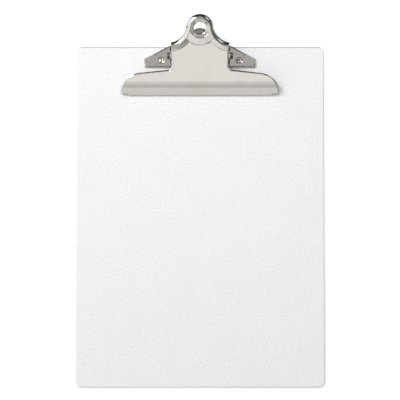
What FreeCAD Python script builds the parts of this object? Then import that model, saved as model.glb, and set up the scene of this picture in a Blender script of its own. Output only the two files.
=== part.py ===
import FreeCAD, Part
import math
import os

# A letter-size clipboard: a moulded plastic board, and a spring clip riveted to its top edge.
# Everything is in millimetres. X runs across the board, Y up the board towards the clip, and
# Z out of its front face. The origin is the centre of the board's flat back face.
#
# The clip is laid out in its own side view: "up" is the distance up the board measured from the
# board's top edge, and "out" is the height above the board's front face.

V = FreeCAD.Vector
ORIGIN = V(0, 0, 0)
ACROSS = V(1, 0, 0)
OUTWARD = V(0, 0, 1)

# ---- board ----
BOARD_WIDTH = 228.6
BOARD_LENGTH = 317.5
BOARD_THICKNESS = 3.0
BOARD_CORNER = 5.5
BOARD_EDGE = 0.8

# ---- sheet steel of the lever ----
SHEET = 1.0
SHEET_EDGE = 1.2

# ---- lever, side view ----
CREASE_UP = -37.1
CREASE_OUT = 9.5
CREASE_RADIUS = 28.0
PLATE_SLOPE = 21.4
LIP_CENTRE_UP = -44.5
LIP_CENTRE_OUT = 1.75
LIP_RADIUS = 1.5
LIP_HALF_WIDTH = 66.3
LIP_TURN = 165.0
JAW_END_DROP = 9.8
THUMB_SKIRT = 4.4
JAW_SKIRT = 2.2

# ---- lever, front view: half widths, and distances along the plate from the crease ----
NECK_HALF_WIDTH = 26.2
NECK_TOP = 35.4
SHOULDER_HALF_WIDTH = 27.1
SHOULDER_ALONG = 38.2
SHOULDER_HOLLOW = 17.0
ROUND_END = 12.7
ROUND_END_ALONG = 52.2
THUMB_EDGE = 4.2
THUMB_EDGE_SWEEP = 105.0
JAW_ROOT = 13.4
JAW_ROOT_RADIUS = 4.0
JAW_CORNER = (69.7, 8.9)
JAW_CORNER_RADIUS = 19.0
JAW_TIP = (73.2, -5.6)
JAW_TIP_RADIUS = 6.0
JAW_FOOT = (72.4, -11.0)

# ---- raised thumb pad: a disc round the hole, with a wing along each shoulder ----
PAD_DISC_RADIUS = 15.6
PAD_DISC_SLOPE = 2.5
PAD_WING_WIDTH = 7.4
PAD_WING_SLOPE = 6.0
PAD_RISE = 0.4
PAD_STEP_SLOPE = 30.0

# ---- hanging hole in the thumb plate ----
DISH_RADIUS = 9.4
DISH_TAPER = 0.3
DISH_STEP = 0.6
DISH_DEPTH = 1.3
DISH_TOP_ROUNDS = (0.4, 0.9)
DISH_UNDER_ROUNDS = (1.0, 0.4)
HOLE_RADIUS = 5.6
COLLAR_DEPTH = 4.0

# ---- pivot ----
PIN_UP = -9.4
PIN_OUT = 11.0
PIN_RADIUS = 1.6
PIN_FIT = 0.02
LEVER_FIT = 0.08
EAR_GAP = 0.3
BASE_EAR = 5.5
LEVER_EAR = 5.0
LEVER_EAR_HALF_WIDTH = 4.0
LEVER_EAR_START = 16.5
LEVER_EAR_END = 37.0
LEVER_EAR_ROUNDS = (6.0, 4.0, 4.0, 3.0)
PIN_HALF_LENGTH = 30.6
PIN_END_EDGE = 0.5

# ---- base plate ----
BASE_SHEET = 1.2
BASE_HEIGHT = 3.2
BASE_EDGE = 1.4
WING_HALF_WIDTH = 51.3
WING_BOTTOM = -19.6
WING_TIP_TOP = -11.9
WING_ROOT = (27.6, 0.6)
WING_CORNER = 1.2
WING_ROOT_CORNER = 1.0
TIP_CENTRE = (43.5, -12.1)
TIP_RADIUS = 4.2
TIP_HEIGHT = 1.8
RIVET_X = 36.1
RIVET_UP = -13.5
DIMPLE_RADIUS = 3.4
DIMPLE_HEIGHT = 1.2
DIMPLE_TAPER = 0.6
EAR_ROOT_BOTTOM = -19.4
EAR_ROOT_TOP = -0.6
WINDOW_INNER = 11.0
WINDOW_BOTTOM = -17.5
WINDOW_TOP = -1.5
WINDOW_CORNER = 1.0
TONGUE_ROOT = 11.0
TONGUE_RADIUS = 9.0
TONGUE_TIP = 16.7
TONGUE_RISE = 1.8
TONGUE_SKIRT = 2.0

# ---- rivets and washers ----
RIVET_RADIUS = 1.6
RIVET_HEAD = 2.4
RIVET_DOME = 1.0
RIVET_BORE = 0.9
RIVET_ROLL = 2.5
RIVET_ROLL_DEPTH = 0.4
RIVET_EDGE = 0.2
RIVET_FLOOR = 0.5
HOLE_ROOM = 0.1
WASHER_RADIUS = 3.5
WASHER_THICKNESS = 0.5
RECESS_RADIUS = 3.9
RECESS_DEPTH = 1.1

# ---- springs ----
WIRE_RADIUS = 0.7
COIL_RADIUS = 2.6
COIL_PITCH = 1.5
COIL_START = 3.0
COIL_TURNS = 4
LEVER_LEG_SLOPE = 41.5
LEVER_LEG = 13.0
BASE_LEG_SLOPE = 21.0
BASE_LEG = 10.5

# ---- working lengths: longer than any piece, just clear of one, and near enough to touch ----
REACH = 200.0
CLEAR = 20.0
MARGIN = 0.1
TOUCH = 1e-4


# ---- places and outlines ----

def side(up, out):
    """A point of the clip's side view."""
    return V(0, BOARD_LENGTH / 2 + up, BOARD_THICKNESS + out)


def direction(angle):
    """The unit vector at an angle above the +Y direction, in the side view."""
    a = math.radians(angle)
    return V(0, math.cos(a), math.sin(a))


def corner_arc(before, corner, after, radius):
    """Start, middle and end of the arc that rounds a corner between two straight runs."""
    back = (before - corner).normalize()
    ahead = (after - corner).normalize()
    half = back.getAngle(ahead) / 2
    reach = radius / math.tan(half)
    inward = (back + ahead).normalize()
    middle = corner + inward * (radius / math.sin(half) - radius)
    return corner + back * reach, middle, corner + ahead * reach


def rounded(points, radii):
    """A closed wire through the points, with each corner rounded to its own radius."""
    count = len(points)
    arcs = []
    for k in range(count):
        if radii[k]:
            arcs.append(corner_arc(points[k - 1], points[k], points[(k + 1) % count], radii[k]))
        else:
            arcs.append((points[k],) * 3)
    edges = []
    for k in range(count):
        start, middle, end = arcs[k]
        if radii[k]:
            edges.append(Part.Arc(start, middle, end).toShape())
        following = arcs[(k + 1) % count][0]
        if end.distanceToPoint(following) > TOUCH:
            edges.append(Part.makeLine(end, following))
    return Part.Wire(edges)


def bar_across(wire, half_width):
    """A side-view outline made into a bar that is centred across the board."""
    face = Part.Face(wire)
    face.translate(V(-half_width, 0, 0))
    return face.extrude(V(2 * half_width, 0, 0))


def mirrored(shape):
    return shape.mirror(ORIGIN, ACROSS)


def disc_across(up, out, radius, x_start, x_end):
    """A round bar lying across the board."""
    place = side(up, out) + V(x_start, 0, 0)
    return Part.makeCylinder(radius, x_end - x_start, place, ACROSS)


def edges_on(shape, *surfaces):
    """The edges of a shape that lie on all of the given surfaces."""
    found = []
    for edge in shape.Edges:
        low, high = edge.ParameterRange
        places = [edge.valueAt(low + (high - low) * f) for f in (0.2, 0.5, 0.8)]
        if all(Part.Vertex(p).distToShape(s)[0] < TOUCH for p in places for s in surfaces):
            found.append(edge)
    return found


# ---- board ----

def board():
    """Moulded sheet with rounded corners and edges, and two stepped rivet holes."""
    corner = V(-BOARD_WIDTH / 2, -BOARD_LENGTH / 2, 0)
    slab = Part.makeBox(BOARD_WIDTH, BOARD_LENGTH, BOARD_THICKNESS, corner)
    upright = [e for e in slab.Edges if abs(e.tangentAt(0).z) > 0.5]
    slab = slab.makeFillet(BOARD_CORNER, upright)
    outer_edges = [e for e in slab.Edges if e.BoundBox.ZLength < TOUCH]
    slab = slab.makeFillet(BOARD_EDGE, outer_edges)
    for x in (-RIVET_X, RIVET_X):
        centre = V(x, BOARD_LENGTH / 2 + RIVET_UP, 0)
        slab = slab.cut(Part.makeCylinder(RIVET_RADIUS + HOLE_ROOM, BOARD_THICKNESS, centre))
        slab = slab.cut(Part.makeCylinder(RECESS_RADIUS, RECESS_DEPTH, centre))
    return slab


# ---- lever ----

def strip_slope():
    """Slope of the strip that runs from the crease onto the back of the rolled lip."""
    rise = CREASE_OUT - LIP_CENTRE_OUT
    run = CREASE_UP - LIP_CENTRE_UP
    to_centre = math.atan2(rise, run)
    spread = math.asin(LIP_RADIUS / math.hypot(rise, run))
    return math.degrees(to_centre - spread)


STRIP_SLOPE = strip_slope()
STRIP_LENGTH = math.sqrt(
    (CREASE_UP - LIP_CENTRE_UP) ** 2 + (CREASE_OUT - LIP_CENTRE_OUT) ** 2 - LIP_RADIUS**2
)


def on_slope(slope, along, above):
    """A side-view point, measured along and above a sloping line through the crease."""
    return side(CREASE_UP, CREASE_OUT) + direction(slope) * along + direction(slope + 90) * above


def on_plate(along, above=0.0):
    return on_slope(PLATE_SLOPE, along, above)


def on_strip(along, above=0.0):
    return on_slope(STRIP_SLOPE, along, above)


def crease_below(depth):
    """The crease's corner at some depth under the top skin."""
    middle = (STRIP_SLOPE + PLATE_SLOPE) / 2
    half_turn = math.radians((STRIP_SLOPE - PLATE_SLOPE) / 2)
    return side(CREASE_UP, CREASE_OUT) - direction(middle + 90) * (depth / math.cos(half_turn))


def laid_on_slope(shape, slope):
    """A shape drawn flat, with Y measured from the crease, laid on a slope through the crease."""
    moved = shape.copy()
    tilt = FreeCAD.Rotation(ACROSS, slope)
    place = FreeCAD.Placement(side(CREASE_UP, CREASE_OUT), tilt)
    moved.Placement = place.multiply(shape.Placement)
    return moved


def laid_on_plate(shape):
    return laid_on_slope(shape, PLATE_SLOPE)


def under_skin(inset):
    """Everything below the lever's top skin in side view, moved in by the inset."""
    low_end = on_strip(-REACH, -inset)
    high_end = on_plate(REACH, -inset)
    points = [low_end, crease_below(inset), high_end, V(0, high_end.y, low_end.z)]
    return bar_across(rounded(points, [0, CREASE_RADIUS - inset, 0, 0]), REACH)


def shoulder_centre():
    """Centre of the right shoulder's hollow, which meets the round end without a corner."""
    span = ROUND_END + SHOULDER_HOLLOW
    across = SHOULDER_HALF_WIDTH
    rise = SHOULDER_ALONG - ROUND_END_ALONG
    reach = math.hypot(across, rise)
    along = (span**2 - SHOULDER_HOLLOW**2 + reach**2) / (2 * reach)
    aside = math.sqrt(span**2 - along**2)
    x = (across * along - rise * aside) / reach
    y = (rise * along + across * aside) / reach
    return V(x, ROUND_END_ALONG + y, 0)


def lever_outline():
    """The lever's plate drawn flat: jaw, neck, two hollow shoulders and the round end."""
    hollow = shoulder_centre()
    corner = V(SHOULDER_HALF_WIDTH, SHOULDER_ALONG, 0)
    middle = V(0, ROUND_END_ALONG, 0)
    meeting = middle + (hollow - middle).normalize() * ROUND_END
    bottom = (corner - hollow).normalize()
    side_on = (meeting - hollow).normalize()
    hollow_middle = hollow + (bottom + side_on).normalize() * SHOULDER_HOLLOW
    jaw_points = [
        V(NECK_HALF_WIDTH, NECK_TOP, 0),
        V(NECK_HALF_WIDTH, JAW_ROOT, 0),
        V(JAW_CORNER[0], JAW_CORNER[1], 0),
        V(JAW_TIP[0], JAW_TIP[1], 0),
        V(JAW_FOOT[0], JAW_FOOT[1], 0),
    ]
    inner_start, inner_middle, inner_end = corner_arc(*jaw_points[0:3], JAW_ROOT_RADIUS)
    outer_start, outer_middle, outer_end = corner_arc(*jaw_points[1:4], JAW_CORNER_RADIUS)
    tip_start, tip_middle, tip_end = corner_arc(*jaw_points[2:5], JAW_TIP_RADIUS)
    half = [
        Part.Arc(meeting, hollow_middle, corner).toShape(),
        Part.makeLine(corner, jaw_points[0]),
        Part.makeLine(jaw_points[0], inner_start),
        Part.Arc(inner_start, inner_middle, inner_end).toShape(),
        Part.makeLine(inner_end, outer_start),
        Part.Arc(outer_start, outer_middle, outer_end).toShape(),
        Part.makeLine(outer_end, tip_start),
        Part.Arc(tip_start, tip_middle, tip_end).toShape(),
        Part.makeLine(tip_end, jaw_points[4]),
    ]
    top = Part.Arc(meeting, middle + V(0, ROUND_END, 0), V(-meeting.x, meeting.y, 0)).toShape()
    foot = jaw_points[4]
    bottom_line = Part.makeLine(V(-foot.x, foot.y, 0), foot)
    edges = [top] + half + [mirrored(e) for e in half] + [bottom_line]
    return Part.Wire(Part.sortEdges(edges)[0])


def inset_face(wire, inset):
    face = Part.Face(wire)
    if inset:
        return face.makeOffset2D(-inset, join=2)
    return face


def pad_disc(radius, top_slope, inset):
    """A round part of the thumb pad: its top rises outwards, then eases down to the plate."""
    steep = math.radians(PAD_STEP_SLOPE)
    gentle = math.radians(top_slope)
    ease = PAD_RISE / (2 - 2 * math.cos(steep))
    crest = V(radius - ease * math.sin(steep), 0, PAD_RISE - ease)
    foot = V(radius + ease * math.sin(steep), 0, ease)

    def around(centre, length, turn):
        return centre + V(math.sin(turn), 0, math.cos(turn)) * length

    turns = (-gentle, (steep - gentle) / 2, steep)
    crest_arc = [around(crest, ease - inset, turn) for turn in turns]
    foot_arc = [around(foot, -ease - inset, turn) for turn in (steep, steep / 2, 0)]
    middle = V(0, 0, crest_arc[0].z - crest_arc[0].x * math.tan(gentle))
    deep = V(0, 0, -THUMB_SKIRT - inset)
    outer_deep = V(foot_arc[2].x, 0, deep.z)
    wire = Part.Wire([
        Part.makeLine(middle, crest_arc[0]),
        Part.Arc(*crest_arc).toShape(),
        Part.Arc(*foot_arc).toShape(),
        Part.makeLine(foot_arc[2], outer_deep),
        Part.makeLine(outer_deep, deep),
        Part.makeLine(deep, middle),
    ])
    return Part.Face(wire).revolve(ORIGIN, OUTWARD, 360)


def thumb_pad(inset):
    """The pad drawn flat: a disc round the hole, and a wing that follows each shoulder."""
    disc = pad_disc(PAD_DISC_RADIUS, PAD_DISC_SLOPE, inset)
    disc.translate(V(0, ROUND_END_ALONG, 0))
    wing = pad_disc(SHOULDER_HOLLOW + PAD_WING_WIDTH, PAD_WING_SLOPE, inset)
    wing.translate(shoulder_centre())
    return disc.fuse([wing, mirrored(wing)])


def edge_cutter(edge, inward, radius, top):
    """Section of a cutter that rounds an edge, from the skin at the given height."""
    start = V(edge + inward * radius, 0, top)
    end = V(edge, 0, top - radius)
    middle = V(start.x, 0, end.z) + V(-inward, 0, 1).normalize() * radius
    clear = V(edge - inward * THUMB_EDGE, 0, top + THUMB_EDGE)
    wire = Part.Wire([
        Part.Arc(start, middle, end).toShape(),
        Part.makeLine(end, V(clear.x, 0, end.z)),
        Part.makeLine(V(clear.x, 0, end.z), clear),
        Part.makeLine(clear, V(start.x, 0, clear.z)),
        Part.makeLine(V(start.x, 0, clear.z), start),
    ])
    return Part.Face(wire)


def rolled_edges(inset):
    """Cutters that round the thumb plate's rim: round end, shoulders, and the top of the neck."""
    hollow = shoulder_centre()
    middle = V(0, ROUND_END_ALONG, 0)
    lean = math.degrees(math.atan2(hollow.y - middle.y, hollow.x))
    top = edge_cutter(ROUND_END - inset, -1, THUMB_EDGE - inset, -inset)
    top.rotate(ORIGIN, OUTWARD, lean)
    top = top.revolve(ORIGIN, OUTWARD, 180 - 2 * lean)
    top.translate(middle)
    shoulder = edge_cutter(SHOULDER_HOLLOW + inset, 1, THUMB_EDGE - inset, -inset)
    shoulder.rotate(ORIGIN, OUTWARD, 180 + lean)
    shoulder = shoulder.revolve(ORIGIN, OUTWARD, THUMB_EDGE_SWEEP - lean)
    shoulder.translate(hollow)
    neck = edge_cutter(NECK_HALF_WIDTH - inset, -1, SHEET_EDGE - inset, PAD_RISE - inset)
    neck = neck.extrude(V(0, SHOULDER_ALONG - JAW_ROOT, 0))
    neck.translate(V(0, JAW_ROOT, 0))
    return [top, shoulder, mirrored(shoulder), neck, mirrored(neck)]


def dish(inset):
    """The dished seat around the hanging hole, to be taken out of the thumb plate."""
    collar = COLLAR_DEPTH if inset else CLEAR
    rounds = DISH_UNDER_ROUNDS if inset else DISH_TOP_ROUNDS
    points = [
        (0, SHEET),
        (DISH_RADIUS + inset + DISH_TAPER, SHEET),
        (DISH_RADIUS + inset - DISH_TAPER, -DISH_STEP - inset),
        (HOLE_RADIUS + inset, -DISH_DEPTH - inset),
        (HOLE_RADIUS + inset, -collar),
        (0, -collar),
    ]
    radii = [0, 0, *rounds, 0, 0]
    wire = rounded([V(r, 0, n) for r, n in points], radii)
    lump = Part.Face(wire).revolve(ORIGIN, OUTWARD, 360)
    lump.translate(V(0, ROUND_END_ALONG, 0))
    return lump


def lever_block(inset):
    """The lever as a solid lump, moved in by the inset."""
    face = inset_face(lever_outline(), inset)
    face.translate(V(0, 0, -REACH / 2))
    prism = laid_on_plate(face.extrude(V(0, 0, REACH)))
    under = under_skin(inset)
    block = prism.common(under)
    neck_end = on_plate(NECK_TOP + MARGIN).y
    rim = edges_on(block, prism.Shells[0], under.Shells[0])
    rim = [e for e in rim if e.BoundBox.YMax < neck_end and e.BoundBox.XLength < LIP_HALF_WIDTH]
    block = block.makeFillet(SHEET_EDGE - inset, rim)
    block = block.fuse(laid_on_plate(thumb_pad(inset)).common(prism))
    for cutter in rolled_edges(inset) + [dish(inset)]:
        block = block.cut(laid_on_plate(cutter))
    return block


def skirt():
    """Side view of all that is left of the lever: how far each edge is turned down."""
    ear_tip = PIN_OUT - LEVER_EAR
    points = [
        on_plate(REACH / 2, -THUMB_SKIRT),
        on_plate(REACH / 2, CLEAR),
        on_strip(-STRIP_LENGTH, CLEAR),
        on_strip(-STRIP_LENGTH, -JAW_SKIRT),
        crease_below(JAW_SKIRT),
        on_plate(LEVER_EAR_START, -JAW_SKIRT),
        side(PIN_UP - LEVER_EAR_HALF_WIDTH, ear_tip),
        side(PIN_UP + LEVER_EAR_HALF_WIDTH, ear_tip),
        on_plate(LEVER_EAR_END, -THUMB_SKIRT),
    ]
    radii = [0, 0, 0, 0, CREASE_RADIUS - JAW_SKIRT, *LEVER_EAR_ROUNDS]
    return bar_across(rounded(points, radii), REACH)


def rolled_lip():
    """The lip's edge, rolled inwards so that only a smooth round touches the paper."""
    centre = side(LIP_CENTRE_UP, LIP_CENTRE_OUT)
    start = STRIP_SLOPE + 90
    outer = [centre + direction(start + LIP_TURN * f) * LIP_RADIUS for f in (0, 0.5, 1)]
    inner_radius = LIP_RADIUS - SHEET
    inner = [centre + direction(start + LIP_TURN * f) * inner_radius for f in (1, 0.5, 0)]
    wire = Part.Wire([
        Part.Arc(*outer).toShape(),
        Part.makeLine(outer[2], inner[0]),
        Part.Arc(*inner).toShape(),
        Part.makeLine(inner[2], outer[0]),
    ])
    return bar_across(wire, LIP_HALF_WIDTH)


def jaw_end_trim():
    """What is cut away below the plain end of the jaw, beside the rolled lip."""
    corner = V(LIP_HALF_WIDTH, -JAW_END_DROP - CLEAR, -CLEAR)
    return laid_on_slope(Part.makeBox(CLEAR, CLEAR, 2 * CLEAR, corner), STRIP_SLOPE)


def lever():
    """One pressed sheet: thumb plate with its hole, neck, pivot ears, jaw and rolled lip."""
    body = lever_block(0).cut(lever_block(SHEET)).common(skirt())
    trim = jaw_end_trim()
    body = body.cut(trim).cut(mirrored(trim)).fuse(rolled_lip())
    hole = disc_across(PIN_UP, PIN_OUT, PIN_RADIUS + LEVER_FIT, -REACH / 2, REACH / 2)
    return body.cut(hole).removeSplitter()


# ---- base plate ----

def base_outline():
    """The two wings in front view, joined across the middle."""
    half = [
        (WING_HALF_WIDTH, WING_BOTTOM, WING_CORNER),
        (WING_HALF_WIDTH, WING_TIP_TOP, WING_CORNER),
        (WING_ROOT[0], WING_ROOT[1], WING_ROOT_CORNER),
    ]
    whole = half + [(-x, y, r) for x, y, r in reversed(half)]
    points = [V(x, BOARD_LENGTH / 2 + up, BOARD_THICKNESS) for x, up, r in whole]
    return rounded(points, [r for x, up, r in whole])


def tip_pad(inset):
    """The lower level at each wing's tip, with a round inner end."""
    floor = BOARD_THICKNESS + TIP_HEIGHT - inset
    centre = V(TIP_CENTRE[0], BOARD_LENGTH / 2 + TIP_CENTRE[1], floor)
    radius = TIP_RADIUS + inset
    end = Part.makeCylinder(radius, BASE_HEIGHT, centre)
    length = WING_HALF_WIDTH - TIP_CENTRE[0] + TIP_RADIUS
    run = Part.makeBox(length, 2 * radius, BASE_HEIGHT, centre - V(0, radius, 0))
    return end.fuse(run)


def dimple(inset):
    """The sunk seat under each rivet head."""
    centre = V(RIVET_X, BOARD_LENGTH / 2 + RIVET_UP, BOARD_THICKNESS + DIMPLE_HEIGHT - inset)
    depth = BASE_HEIGHT - DIMPLE_HEIGHT
    low = DIMPLE_RADIUS - DIMPLE_TAPER + inset
    return Part.makeCone(low, low + DIMPLE_TAPER, depth, centre)


def wing_block(inset):
    """Both wings as a lump, moved in by the inset, with their pads and rivet seats sunk."""
    face = inset_face(base_outline(), inset)
    block = face.extrude(V(0, 0, BASE_HEIGHT - inset))
    if not inset:
        roof = face.copy()
        roof.translate(V(0, 0, BASE_HEIGHT))
        block = block.makeFillet(BASE_EDGE, edges_on(block, roof))
    for sunk in (tip_pad(inset), dimple(inset)):
        block = block.cut(sunk).cut(mirrored(sunk))
    return block


def tangent_point(outside, centre, radius, turn):
    """Where a line from an outside point touches a circle, in the side view."""
    away = outside - centre
    spread = math.degrees(math.acos(radius / away.Length))
    heading = math.degrees(math.atan2(away.z, away.y))
    return centre + direction(heading + turn * spread) * radius


def base_ear():
    """One upright ear, bent up beside the lever, that carries the end of the pin."""
    centre = side(PIN_UP, PIN_OUT)
    foot = BASE_HEIGHT - BASE_SHEET
    low = side(EAR_ROOT_BOTTOM, foot)
    high = side(EAR_ROOT_TOP, foot)
    low_touch = tangent_point(low, centre, BASE_EAR, -1)
    high_touch = tangent_point(high, centre, BASE_EAR, 1)
    wire = Part.Wire([
        Part.makeLine(low, low_touch),
        Part.Arc(low_touch, centre + V(0, 0, BASE_EAR), high_touch).toShape(),
        Part.makeLine(high_touch, high),
        Part.makeLine(high, low),
    ])
    ear = Part.Face(wire).extrude(V(BASE_SHEET, 0, 0))
    ear.translate(V(NECK_HALF_WIDTH + EAR_GAP, 0, 0))
    return ear


def window():
    """The opening left in the plate where an ear was cut free and bent up."""
    outer = NECK_HALF_WIDTH + EAR_GAP
    corner = V(WINDOW_INNER, BOARD_LENGTH / 2 + WINDOW_BOTTOM, BOARD_THICKNESS)
    width = outer - WINDOW_INNER
    block = Part.makeBox(width, WINDOW_TOP - WINDOW_BOTTOM, BASE_HEIGHT, corner)
    upright = [e for e in block.Edges if e.BoundBox.ZLength > BASE_SHEET]
    return block.makeFillet(WINDOW_CORNER, upright)


def tongue_block(inset):
    """The tongue behind the thumb plate as a lump, rising gently to its round end."""
    start = WING_ROOT[1] - BASE_EDGE - TONGUE_SKIRT
    length = TONGUE_TIP - start
    slope = math.degrees(math.atan2(TONGUE_RISE, TONGUE_TIP - WING_ROOT[1]))
    end_centre = length - TONGUE_RADIUS
    right = V(TONGUE_ROOT, 0, 0)
    left = V(-TONGUE_ROOT, 0, 0)
    right_end = V(TONGUE_RADIUS, end_centre, 0)
    left_end = V(-TONGUE_RADIUS, end_centre, 0)
    wire = Part.Wire([
        Part.makeLine(left, right),
        Part.makeLine(right, right_end),
        Part.Arc(right_end, V(0, length, 0), left_end).toShape(),
        Part.makeLine(left_end, left),
    ])
    face = inset_face(wire, inset)
    face.translate(V(0, 0, -inset))
    block = face.extrude(V(0, 0, -TONGUE_SKIRT))
    if not inset:
        rim = [e for e in edges_on(block, face) if e.BoundBox.YLength > BASE_SHEET]
        block = block.makeFillet(BASE_EDGE, rim)
    block.rotate(ORIGIN, ACROSS, slope)
    block.translate(side(start, BASE_HEIGHT))
    return block


def tongue():
    shell = tongue_block(0).cut(tongue_block(BASE_SHEET))
    before_root = side(WING_ROOT[1] - BASE_EDGE - REACH, -REACH / 2)
    behind = Part.makeBox(REACH, REACH, REACH, before_root - V(REACH / 2, 0, 0))
    return shell.cut(behind)


def base_plate():
    """Pressed plate: two riveted wings, two pivot ears and the tongue behind the thumb plate."""
    plate = wing_block(0).cut(wing_block(BASE_SHEET))
    plate = plate.fuse(tongue())
    for piece in (window(), rivet_hole()):
        plate = plate.cut(piece).cut(mirrored(piece))
    ear = base_ear()
    plate = plate.fuse([ear, mirrored(ear)])
    hole = disc_across(PIN_UP, PIN_OUT, PIN_RADIUS + PIN_FIT, -REACH / 2, REACH / 2)
    return plate.cut(hole).removeSplitter()


# ---- fasteners and pin ----

def rivet_hole():
    centre = V(RIVET_X, BOARD_LENGTH / 2 + RIVET_UP, 0)
    return Part.makeCylinder(RIVET_RADIUS + HOLE_ROOM, CLEAR, centre)


def rivet():
    """Tubular rivet: domed head in front, and its end rolled over the washer at the back."""
    seat = BOARD_THICKNESS + DIMPLE_HEIGHT
    washer_back = RECESS_DEPTH - WASHER_THICKNESS
    back = washer_back - RIVET_ROLL_DEPTH
    dome_radius = (RIVET_HEAD**2 + RIVET_DOME**2) / (2 * RIVET_DOME)
    ball = Part.makeSphere(dome_radius, V(0, 0, seat + RIVET_DOME - dome_radius))
    head = ball.common(Part.makeCylinder(RIVET_HEAD, RIVET_DOME, V(0, 0, seat)))
    shank = Part.makeCylinder(RIVET_RADIUS, seat - back, V(0, 0, back))
    roll = Part.makeCone(RIVET_ROLL - RIVET_EDGE, RIVET_ROLL, RIVET_ROLL_DEPTH, V(0, 0, back))
    bore_end = seat - RIVET_FLOOR
    bore = Part.makeCylinder(RIVET_BORE, bore_end - back, V(0, 0, back))
    body = head.fuse([shank, roll]).cut(bore)
    body.translate(V(RIVET_X, BOARD_LENGTH / 2 + RIVET_UP, 0))
    return body.removeSplitter()


def rivet_washer():
    """Flat ring in the recess at the board's back, under the rivet's rolled end."""
    centre = V(RIVET_X, BOARD_LENGTH / 2 + RIVET_UP, RECESS_DEPTH - WASHER_THICKNESS)
    ring = Part.makeCylinder(WASHER_RADIUS, WASHER_THICKNESS, centre)
    return ring.cut(Part.makeCylinder(RIVET_RADIUS + HOLE_ROOM, WASHER_THICKNESS, centre))


def pivot_pin():
    """Straight steel pin, with its ends rounded over outside the base plate's ears."""
    pin = disc_across(PIN_UP, PIN_OUT, PIN_RADIUS, -PIN_HALF_LENGTH, PIN_HALF_LENGTH)
    ends = [e for e in pin.Edges if isinstance(e.Curve, Part.Circle)]
    return pin.makeFillet(PIN_END_EDGE, ends)


# ---- springs ----

def spring():
    """Torsion spring around the pin: one leg under the thumb plate, one on the base plate."""
    start_angle = 90 + LEVER_LEG_SLOPE
    last_angle = 270 - BASE_LEG_SLOPE
    turns = COIL_TURNS - 1 + (last_angle - start_angle) / 360
    coil = Part.makeHelix(COIL_PITCH, turns * COIL_PITCH, COIL_RADIUS)
    coil.rotate(ORIGIN, OUTWARD, start_angle)
    coil.rotate(ORIGIN, V(1, 1, 1), 120)
    coil.translate(side(PIN_UP, PIN_OUT) + V(COIL_START, 0, 0))
    first = coil.Edges[0]
    last = coil.Edges[-1]
    start = first.valueAt(first.FirstParameter)
    start_heading = first.tangentAt(first.FirstParameter)
    end = last.valueAt(last.LastParameter)
    end_heading = last.tangentAt(last.LastParameter)
    lever_tip = start - start_heading * LEVER_LEG
    base_tip = end + end_heading * BASE_LEG
    path = Part.Wire(
        [Part.makeLine(lever_tip, start)] + coil.Edges + [Part.makeLine(end, base_tip)]
    )
    section = Part.Wire(Part.makeCircle(WIRE_RADIUS, lever_tip, start_heading))
    return path.makePipeShell([section], True, True)


def save(name, shape):
    if not shape.isValid():
        raise ValueError(name + " is not a valid solid")
    if len(shape.Solids) != 1:
        raise ValueError(name + " has " + str(len(shape.Solids)) + " solids")
    shape.Solids[0].exportStep("parts/" + name + ".step")
    print(name, round(shape.Volume, 1), shape.BoundBox)


os.makedirs("parts", exist_ok=True)
save("board", board())
save("base_plate", base_plate())
save("lever", lever())
save("pivot_pin", pivot_pin())
save("rivet_right", rivet())
save("rivet_left", mirrored(rivet()))
save("rivet_washer_right", rivet_washer())
save("rivet_washer_left", mirrored(rivet_washer()))
save("spring_right", spring())
save("spring_left", mirrored(spring()))
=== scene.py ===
import math

import bmesh
import bpy
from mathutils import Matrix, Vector


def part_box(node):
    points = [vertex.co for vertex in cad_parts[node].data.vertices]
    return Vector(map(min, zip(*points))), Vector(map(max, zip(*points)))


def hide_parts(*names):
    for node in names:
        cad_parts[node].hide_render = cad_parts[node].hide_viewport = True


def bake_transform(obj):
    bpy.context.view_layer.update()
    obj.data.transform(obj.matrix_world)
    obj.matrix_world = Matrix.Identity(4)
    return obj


# The clipboard's looks: frosted plastic board, bright nickel-plated clip, steel springs.
# Lengths are metres and angles are degrees. The clipboard lies on its back on the floor, so
# +Z points at the camera, and +Y is up the board, towards the clip.

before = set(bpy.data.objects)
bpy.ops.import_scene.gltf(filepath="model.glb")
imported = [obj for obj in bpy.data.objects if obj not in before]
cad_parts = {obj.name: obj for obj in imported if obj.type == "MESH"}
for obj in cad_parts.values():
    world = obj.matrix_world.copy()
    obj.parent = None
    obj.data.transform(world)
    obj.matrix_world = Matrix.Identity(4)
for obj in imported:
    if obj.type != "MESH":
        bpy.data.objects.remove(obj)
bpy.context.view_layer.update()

BOARD_LOW, BOARD_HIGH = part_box("board")
PIN_LOW, PIN_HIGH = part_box("pivot_pin")
BOARD_SIZE = BOARD_HIGH - BOARD_LOW
PIN_CENTRE = (PIN_LOW + PIN_HIGH) / 2

# ---- camera: far off and nearly overhead, leaning a little towards the board's foot ----
CAMERA_LEAN = 9.7
CAMERA_DISTANCE = 5.0
VIEW_WIDTH = BOARD_SIZE.x * 1.61
VIEW_CENTRE_UP = BOARD_SIZE.y * 0.047
SENSOR_WIDTH_MM = 36.0

# ---- floor and light: the key lamp makes the shadows, and the fill lamp softens them ----
FLOOR_WIDTH = 30.0
FLOOR_GAP = 0.0002
SKY_STRENGTH = 1.0
KEY_PLACE = Vector((-0.8, 0.75, 1.15))
KEY_WIDTH = 0.5
KEY_POWER = 10.6
FILL_PLACE = Vector((0.0, 0.5, 1.4))
FILL_WIDTH = 1.2
FILL_POWER = 14.7

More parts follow.
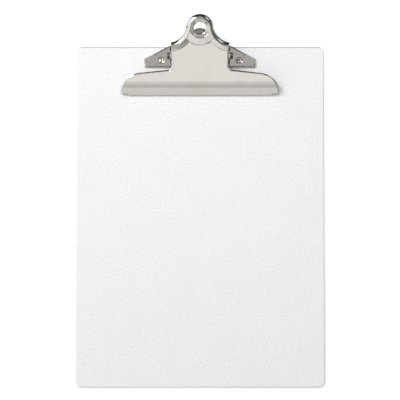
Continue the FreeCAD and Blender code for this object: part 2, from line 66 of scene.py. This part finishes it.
# The studio round the clipboard, as soft windows of light in a dark room. Each window has a
# centre and a half width, in degrees to the right of straight up and towards the board's foot,
# a lean (how far it moves towards the foot for each degree to the right), the softness of its
# edges in both directions, and a brightness.
ROOM = 0.05
WINDOWS = [
    # across, half, along, half, lean, soft across, soft along, brightness
    (2, 13, 31, 12, -0.8, 7, 12, 0.95),
    (0, 15, 48, 8, 0.0, 8, 12, 0.72),
    (0, 15, 57, 12, 0.0, 8, 8, 0.56),
    (0, 14, 70, 8, 0.0, 8, 7, 0.80),
    (0, 20, 97, 14, 0.0, 8, 8, 0.60),
    (-57, 38, 60, 95, 0.0, 6, 10, 1.00),
    (-65, 28, -90, 70, 0.0, 6, 10, 1.00),
    (0, 14, -9, 8, 0.0, 6, 6, 0.55),
    (0, 20, 12, 10, 0.0, 8, 6, 0.50),
    (26, 9, 33, 16, 0.0, 6, 8, 0.45),
    (0, 14, -31, 4, 0.0, 5, 5, 0.70),
    (41, 10, -55, 25, 0.0, 8, 8, 1.00),
    (60, 35, 40, 130, 0.0, 20, 20, 0.14),
    (62, 32, 145, 35, 0.0, 10, 20, 0.85),
    (62, 32, -155, 25, 0.0, 10, 20, 0.85),
]

# ---- the board: how much light gets through it, its two tones, and the painted shade along its rim ----
BOARD_CLEARNESS = 0.7
PLASTIC_CLOUDY = (0.677, 0.674, 0.690, 1)
PLASTIC_PALE = (0.690, 0.687, 0.702, 1)
RIM_WIDTH = 0.001
RIM_SOFTNESS = 0.0005
# Painted shade along the top and right rims: how much of the colour it takes away.
PAINTED_RIM_SHADE_TOP = 0.42
PAINTED_RIM_SHADE_RIGHT = 0.08

# ---- springs ----
WIRE_RADIUS = 0.0007
COIL_PITCH = 0.0015
COIL_RADIUS = 0.0026
COIL_START = 0.003
COIL_TURNS = 4
LEVER_LEG_SLOPE = 41.5
LEVER_LEG = 0.013
BASE_LEG_SLOPE = 21.0
BASE_LEG = 0.0105
WIRE_SIDES = 20
POINTS_PER_TURN = 48
LEG_POINTS = 14
WIRE_END_RINGS = 4
WIRE_END_BULGE = 0.6


# ---- node trees ----

def add(tree, kind, **inputs):
    """A new shader node with its inputs set, or linked where an output is given."""
    made = tree.nodes.new(kind)
    for name, value in inputs.items():
        socket = made.inputs[name.replace("_", " ")]
        if isinstance(value, bpy.types.NodeSocket):
            tree.links.new(value, socket)
        else:
            socket.default_value = value
    return made


def maths(tree, operation, first, second=0.0):
    """The output of a math node."""
    made = tree.nodes.new("ShaderNodeMath")
    made.operation = operation
    for socket, value in zip(made.inputs, (first, second)):
        if isinstance(value, bpy.types.NodeSocket):
            tree.links.new(value, socket)
        else:
            socket.default_value = value
    return made.outputs[0]


def ranged(tree, value, low, high, to_low, to_high, smooth=False):
    """A value moved from one range to another, and held at its ends."""
    made = add(tree, "ShaderNodeMapRange", Value=value, From_Min=low, From_Max=high,
               To_Min=to_low, To_Max=to_high)
    made.interpolation_type = "SMOOTHSTEP" if smooth else "LINEAR"
    return made.outputs["Result"]


def mixed(tree, factor, first, second):
    """A blend of two colours."""
    made = tree.nodes.new("ShaderNodeMix")
    made.data_type = "RGBA"
    for socket, value in zip((made.inputs[0], made.inputs[6], made.inputs[7]), (factor, first, second)):
        if isinstance(value, bpy.types.NodeSocket):
            tree.links.new(value, socket)
        else:
            socket.default_value = value
    return made.outputs[2]


def noise(tree, place, scale, detail=2.0, roughness=0.5):
    """A cloudy pattern between 0 and 1, with the given number of cells to the metre."""
    return add(tree, "ShaderNodeTexNoise", Vector=place, Scale=scale, Detail=detail,
               Roughness=roughness).outputs["Fac"]


def material(name):
    """A new material with its node tree, its main shader, and the place in the frame."""
    made = bpy.data.materials.new(name)
    made.use_nodes = True
    tree = made.node_tree
    shader = tree.nodes["Principled BSDF"]
    place = tree.nodes.new("ShaderNodeTexCoord").outputs["Object"]
    return made, tree, shader, place


def grey(level, warmth=0.0):
    """A grey, made warmer by taking a little green and more blue away."""
    return (level, level * (1 - 0.4 * warmth), level * (1 - warmth), 1.0)


# ---- materials ----

def nickel(name, level=0.80, warmth=0.09, roughness=0.13):
    """Bright nickel plate: slightly wavy, finely rubbed, with faint cloudy patches."""
    made, tree, shader, place = material(name)
    cloud = noise(tree, place, 60.0, 3.0)
    rub = noise(tree, place, 900.0, 4.0, 0.7)
    tint = ranged(tree, cloud, 0.35, 0.65, 0.0, 1.0)
    colour = mixed(tree, tint, grey(level * 0.96, warmth * 1.2), grey(level, warmth))
    tree.links.new(colour, shader.inputs["Base Color"])
    rough = maths(tree, "ADD", ranged(tree, cloud, 0.3, 0.7, roughness * 0.8, roughness * 1.2),
                  ranged(tree, rub, 0.4, 0.7, 0.0, 0.05))
    tree.links.new(rough, shader.inputs["Roughness"])
    shader.inputs["Metallic"].default_value = 1.0
    wave = add(tree, "ShaderNodeBump", Height=noise(tree, place, 90.0, 1.0), Strength=0.15,
               Distance=0.0008)
    fine = add(tree, "ShaderNodeBump", Height=rub, Strength=0.08, Distance=0.0001,
               Normal=wave.outputs["Normal"])
    tree.links.new(fine.outputs["Normal"], shader.inputs["Normal"])
    return made


def painted_rim_shade(tree, place):
    """Painted shade along the board's clear rim: most along the top edge, a little along the right one.
    """
    parts = add(tree, "ShaderNodeSeparateXYZ", Vector=place).outputs
    painted_shades = []
    for axis, edge, depth in (("X", BOARD_HIGH.x, PAINTED_RIM_SHADE_RIGHT), ("Y", BOARD_HIGH.y, PAINTED_RIM_SHADE_TOP)):
        rim = edge - RIM_WIDTH
        painted_shades.append(ranged(tree, parts[axis], rim - RIM_SOFTNESS, rim, 0.0, depth))
    return maths(tree, "MAXIMUM", *painted_shades)


def let_through_shadows(tree, shader, part):
    """Lets part of the light through where the piece would cast a shadow."""
    shadow = tree.nodes.new("ShaderNodeLightPath").outputs["Is Shadow Ray"]
    clear = tree.nodes.new("ShaderNodeBsdfTransparent")
    both = add(tree, "ShaderNodeMixShader", Fac=maths(tree, "MULTIPLY", shadow, part))
    tree.links.new(shader.outputs["BSDF"], both.inputs[1])
    tree.links.new(clear.outputs["BSDF"], both.inputs[2])
    tree.links.new(both.outputs["Shader"], tree.nodes["Material Output"].inputs["Surface"])


def frosted_plastic():
    """Clear plastic with a fine pebbled face: pale, cloudy inside, softly glossy, with painted shade
    along its rim.
    """
    made, tree, shader, place = material("frosted_plastic")
    pebble = add(tree, "ShaderNodeTexVoronoi", Vector=place, Scale=900.0).outputs["Distance"]
    grain = noise(tree, place, 1400.0, 2.0)
    mottle = noise(tree, place, 650.0, 1.0)
    cloud = noise(tree, place, 25.0, 2.0)
    pale = mixed(tree, ranged(tree, cloud, 0.3, 0.7, 0.0, 1.0), PLASTIC_CLOUDY, PLASTIC_PALE)
    speck = ranged(tree, mottle, 0.3, 0.7, 0.93, 1.07)
    # Painted shade: the colour is darkened along the top and right rims.
    lit = maths(tree, "SUBTRACT", 1.0, painted_rim_shade(tree, place))
    toned = add(tree, "ShaderNodeVectorMath", Vector=pale)
    toned.operation = "SCALE"
    tree.links.new(maths(tree, "MULTIPLY", speck, lit), toned.inputs["Scale"])
    tree.links.new(toned.outputs[0], shader.inputs["Base Color"])
    tree.links.new(ranged(tree, grain, 0.3, 0.7, 0.38, 0.5), shader.inputs["Roughness"])
    shader.inputs["IOR"].default_value = 1.49
    shader.inputs["Subsurface Weight"].default_value = 0.35
    shader.inputs["Subsurface Radius"].default_value = (1.0, 1.0, 1.0)
    shader.inputs["Subsurface Scale"].default_value = 0.002
    height = maths(tree, "ADD", pebble, maths(tree, "MULTIPLY", grain, 0.5))
    bump = add(tree, "ShaderNodeBump", Height=height, Strength=0.35, Distance=0.0002)
    tree.links.new(bump.outputs["Normal"], shader.inputs["Normal"])
    let_through_shadows(tree, shader, BOARD_CLEARNESS)
    return made


def spring_steel():
    """Drawn spring wire: grey, with fine marks along the wire."""
    made, tree, shader, place = material("spring_steel")
    cloud = noise(tree, place, 300.0, 3.0)
    colour = mixed(tree, cloud, grey(0.42, 0.02), grey(0.58, 0.02))
    tree.links.new(colour, shader.inputs["Base Color"])
    tree.links.new(ranged(tree, cloud, 0.3, 0.7, 0.25, 0.38), shader.inputs["Roughness"])
    shader.inputs["Metallic"].default_value = 1.0
    bump = add(tree, "ShaderNodeBump", Height=noise(tree, place, 2500.0), Strength=0.15,
               Distance=0.00005)
    tree.links.new(bump.outputs["Normal"], shader.inputs["Normal"])
    return made


def floor_paper():
    """Plain white paper."""
    made, tree, shader, place = material("floor_paper")
    cloud = noise(tree, place, 3.0)
    tree.links.new(mixed(tree, cloud, grey(0.94), grey(0.96)), shader.inputs["Base Color"])
    shader.inputs["Roughness"].default_value = 0.9
    shader.inputs["Specular IOR Level"].default_value = 0.0
    return made


def paint(node_names, made):
    """Gives CAD nodes one material."""
    for name in node_names:
        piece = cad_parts[name]
        piece.data.materials.clear()
        piece.data.materials.append(made)


# ---- springs ----

def pin_point(across, radius, angle):
    """A point at a distance and angle round the pin, measured from +Y towards +Z."""
    a = math.radians(angle)
    return Vector((across, PIN_CENTRE.y + radius * math.cos(a), PIN_CENTRE.z + radius * math.sin(a)))


def spring_path():
    """The right spring's centre line: leg under the lever, coil, and leg on the base plate."""
    start_angle = 90 + LEVER_LEG_SLOPE
    turns = COIL_TURNS - 1 + (270 - BASE_LEG_SLOPE - start_angle) / 360
    count = round(turns * POINTS_PER_TURN)
    coil = []
    for k in range(count + 1):
        done = turns * k / count
        across = COIL_START + COIL_PITCH * done
        coil.append(pin_point(across, COIL_RADIUS, start_angle + 360 * done))

    def heading(angle):
        a = math.radians(angle)
        turn = COIL_RADIUS * 2 * math.pi
        return Vector((COIL_PITCH, -turn * math.sin(a), turn * math.cos(a))).normalized()

    first = heading(start_angle)
    last = heading(start_angle + 360 * turns)
    lever_leg = [coil[0] - first * LEVER_LEG * (1 - k / LEG_POINTS) for k in range(LEG_POINTS)]
    base_leg = [coil[-1] + last * BASE_LEG * (k + 1) / LEG_POINTS for k in range(LEG_POINTS)]
    return lever_leg + coil + base_leg


def wire_rings(path):
    """Centre, heading and radius of each ring along a wire whose cut ends are rounded."""
    rings = []
    last = len(path) - 1
    for k, point in enumerate(path):
        heading = (path[min(k + 1, last)] - path[max(k - 1, 0)]).normalized()
        rings.append((point, heading, WIRE_RADIUS))

    def cap(point, outwards):
        steps = []
        for k in range(1, WIRE_END_RINGS + 1):
            a = math.pi / 2 * k / (WIRE_END_RINGS + 1)
            place = point + outwards * WIRE_RADIUS * WIRE_END_BULGE * math.sin(a)
            steps.append((place, WIRE_RADIUS * math.cos(a)))
        return steps

    head = [(p, rings[0][1], r) for p, r in cap(path[0], -rings[0][1])]
    tail = [(p, rings[-1][1], r) for p, r in cap(path[-1], rings[-1][1])]
    return head[::-1] + rings + tail


def wire_mesh(name, path):
    """A round wire swept along a path, as a closed mesh of quads."""
    mesh = bmesh.new()
    rows = []
    aside = None
    for centre, heading, radius in wire_rings(path):
        if aside is None:
            aside = heading.orthogonal().normalized()
        aside = (aside - heading * aside.dot(heading)).normalized()
        other = heading.cross(aside)
        row = []
        for k in range(WIRE_SIDES):
            a = 2 * math.pi * k / WIRE_SIDES
            row.append(mesh.verts.new(centre + (aside * math.cos(a) + other * math.sin(a)) * radius))
        rows.append(row)
    for before, after in zip(rows, rows[1:]):
        for k in range(WIRE_SIDES):
            following = (k + 1) % WIRE_SIDES
            mesh.faces.new((before[k], before[following], after[following], after[k]))
    mesh.faces.new(rows[0][::-1])
    mesh.faces.new(rows[-1])
    bmesh.ops.recalc_face_normals(mesh, faces=mesh.faces)
    for face in mesh.faces:
        face.smooth = True
    data = bpy.data.meshes.new(name)
    mesh.to_mesh(data)
    mesh.free()
    piece = bpy.data.objects.new(name, data)
    bpy.context.scene.collection.objects.link(piece)
    return piece


def spring(name, side, made):
    """A torsion spring, which winds up between the base plate and the lever."""
    path = spring_path()
    piece = wire_mesh(name, [Vector((p.x * side, p.y, p.z)) for p in path])
    piece.data.materials.append(made)
    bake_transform(piece)
    return piece


# ---- floor, light and camera ----

def floor(made):
    """A plain white floor, left out of mirror-like reflections so that the metal keeps its contrast."""
    data = bpy.data.meshes.new("floor")
    half = FLOOR_WIDTH / 2
    corners = [(-half, -half, 0), (half, -half, 0), (half, half, 0), (-half, half, 0)]
    data.from_pydata(corners, [], [(0, 1, 2, 3)])
    data.materials.append(made)
    piece = bpy.data.objects.new("floor", data)
    piece.location.z = BOARD_LOW.z - FLOOR_GAP
    piece.visible_glossy = False
    bpy.context.scene.collection.objects.link(piece)


def window(tree, across, along, place):
    """How far a direction is inside a soft window of light, from 0 to 1."""
    centre_across, half_across, centre_along, half_along, lean, soft_across, soft_along = place
    shift = maths(tree, "SUBTRACT", across, centre_across)
    middle = maths(tree, "ADD", maths(tree, "MULTIPLY", shift, lean), centre_along)
    inside = []
    for distance, half, soft in (
        (shift, half_across, soft_across),
        (maths(tree, "SUBTRACT", along, middle), half_along, soft_along),
    ):
        away = maths(tree, "ABSOLUTE", distance)
        inside.append(ranged(tree, away, half + soft / 2, half - soft / 2, 0.0, 1.0, smooth=True))
    return maths(tree, "MULTIPLY", *inside)


def studio():
    """The room and its windows of light, which light the scene; the camera sees plain white."""
    world = bpy.data.worlds.new("studio")
    bpy.context.scene.world = world
    world.use_nodes = True
    tree = world.node_tree
    direction = tree.nodes.new("ShaderNodeTexCoord").outputs["Generated"]
    parts = add(tree, "ShaderNodeSeparateXYZ", Vector=direction).outputs
    to_degrees = math.degrees(1)
    across = maths(tree, "MULTIPLY", maths(tree, "ARCSINE", parts["X"]), to_degrees)
    towards_foot = maths(tree, "MULTIPLY", parts["Y"], -1.0)
    along = maths(tree, "MULTIPLY", maths(tree, "ARCTAN2", towards_foot, parts["Z"]), to_degrees)
    level = ROOM
    for *place, brightness in WINDOWS:
        light = maths(tree, "MULTIPLY", window(tree, across, along, place), brightness)
        level = maths(tree, "MAXIMUM", light, level)
    seen = tree.nodes.new("ShaderNodeLightPath").outputs["Is Camera Ray"]
    shown = maths(tree, "MAXIMUM", seen, level)
    background = tree.nodes["Background"]
    tree.links.new(shown, background.inputs["Color"])
    background.inputs["Strength"].default_value = SKY_STRENGTH


def area_light(name, place, width, power, glossy):
    """A round lamp aimed at the origin, which the metal mirrors only where glossy is true."""
    data = bpy.data.lights.new(name, "AREA")
    data.shape = "DISK"
    data.size = width
    data.energy = power
    lamp = bpy.data.objects.new(name, data)
    lamp.location = place
    lamp.rotation_mode = "QUATERNION"
    lamp.rotation_quaternion = (-place).to_track_quat("-Z", "Y")
    lamp.visible_camera = False
    lamp.visible_glossy = glossy
    bpy.context.scene.collection.objects.link(lamp)


def camera():
    """The camera, far enough off that the view is almost without perspective."""
    data = bpy.data.cameras.new("camera")
    data.sensor_width = SENSOR_WIDTH_MM
    data.lens = SENSOR_WIDTH_MM * CAMERA_DISTANCE / VIEW_WIDTH
    data.clip_end = CAMERA_DISTANCE * 4
    lean = math.radians(CAMERA_LEAN)
    target = Vector((0, VIEW_CENTRE_UP, BOARD_HIGH.z))
    eye = bpy.data.objects.new("camera", data)
    eye.location = target + Vector((0, -math.sin(lean), math.cos(lean))) * CAMERA_DISTANCE
    eye.rotation_euler = (lean, 0, 0)
    bpy.context.scene.collection.objects.link(eye)
    bpy.context.scene.camera = eye


# ---- the whole scene ----

camera()
floor(floor_paper())
studio()
area_light("key", KEY_PLACE, KEY_WIDTH, KEY_POWER, glossy=True)
area_light("fill", FILL_PLACE, FILL_WIDTH, FILL_POWER, glossy=False)
bpy.context.scene.view_settings.view_transform = "Standard"

paint(["board"], frosted_plastic())
paint(["lever"], nickel("lever_nickel"))
paint(["base_plate"], nickel("base_nickel", level=0.72))
paint(["pivot_pin"], nickel("pin_steel", level=0.38, warmth=0.2, roughness=0.2))
paint(["rivet_left", "rivet_right"], nickel("rivet_nickel", roughness=0.1))
ZINC = nickel("washer_zinc", level=0.62, warmth=0.0, roughness=0.3)
paint(["rivet_washer_left", "rivet_washer_right"], ZINC)

STEEL = spring_steel()
for spring_name, side, node_name in (
    ("torsion_spring_right", 1, "spring_right"),
    ("torsion_spring_left", -1, "spring_left"),
):
    wound = spring(spring_name, side, STEEL)
    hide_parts(node_name)
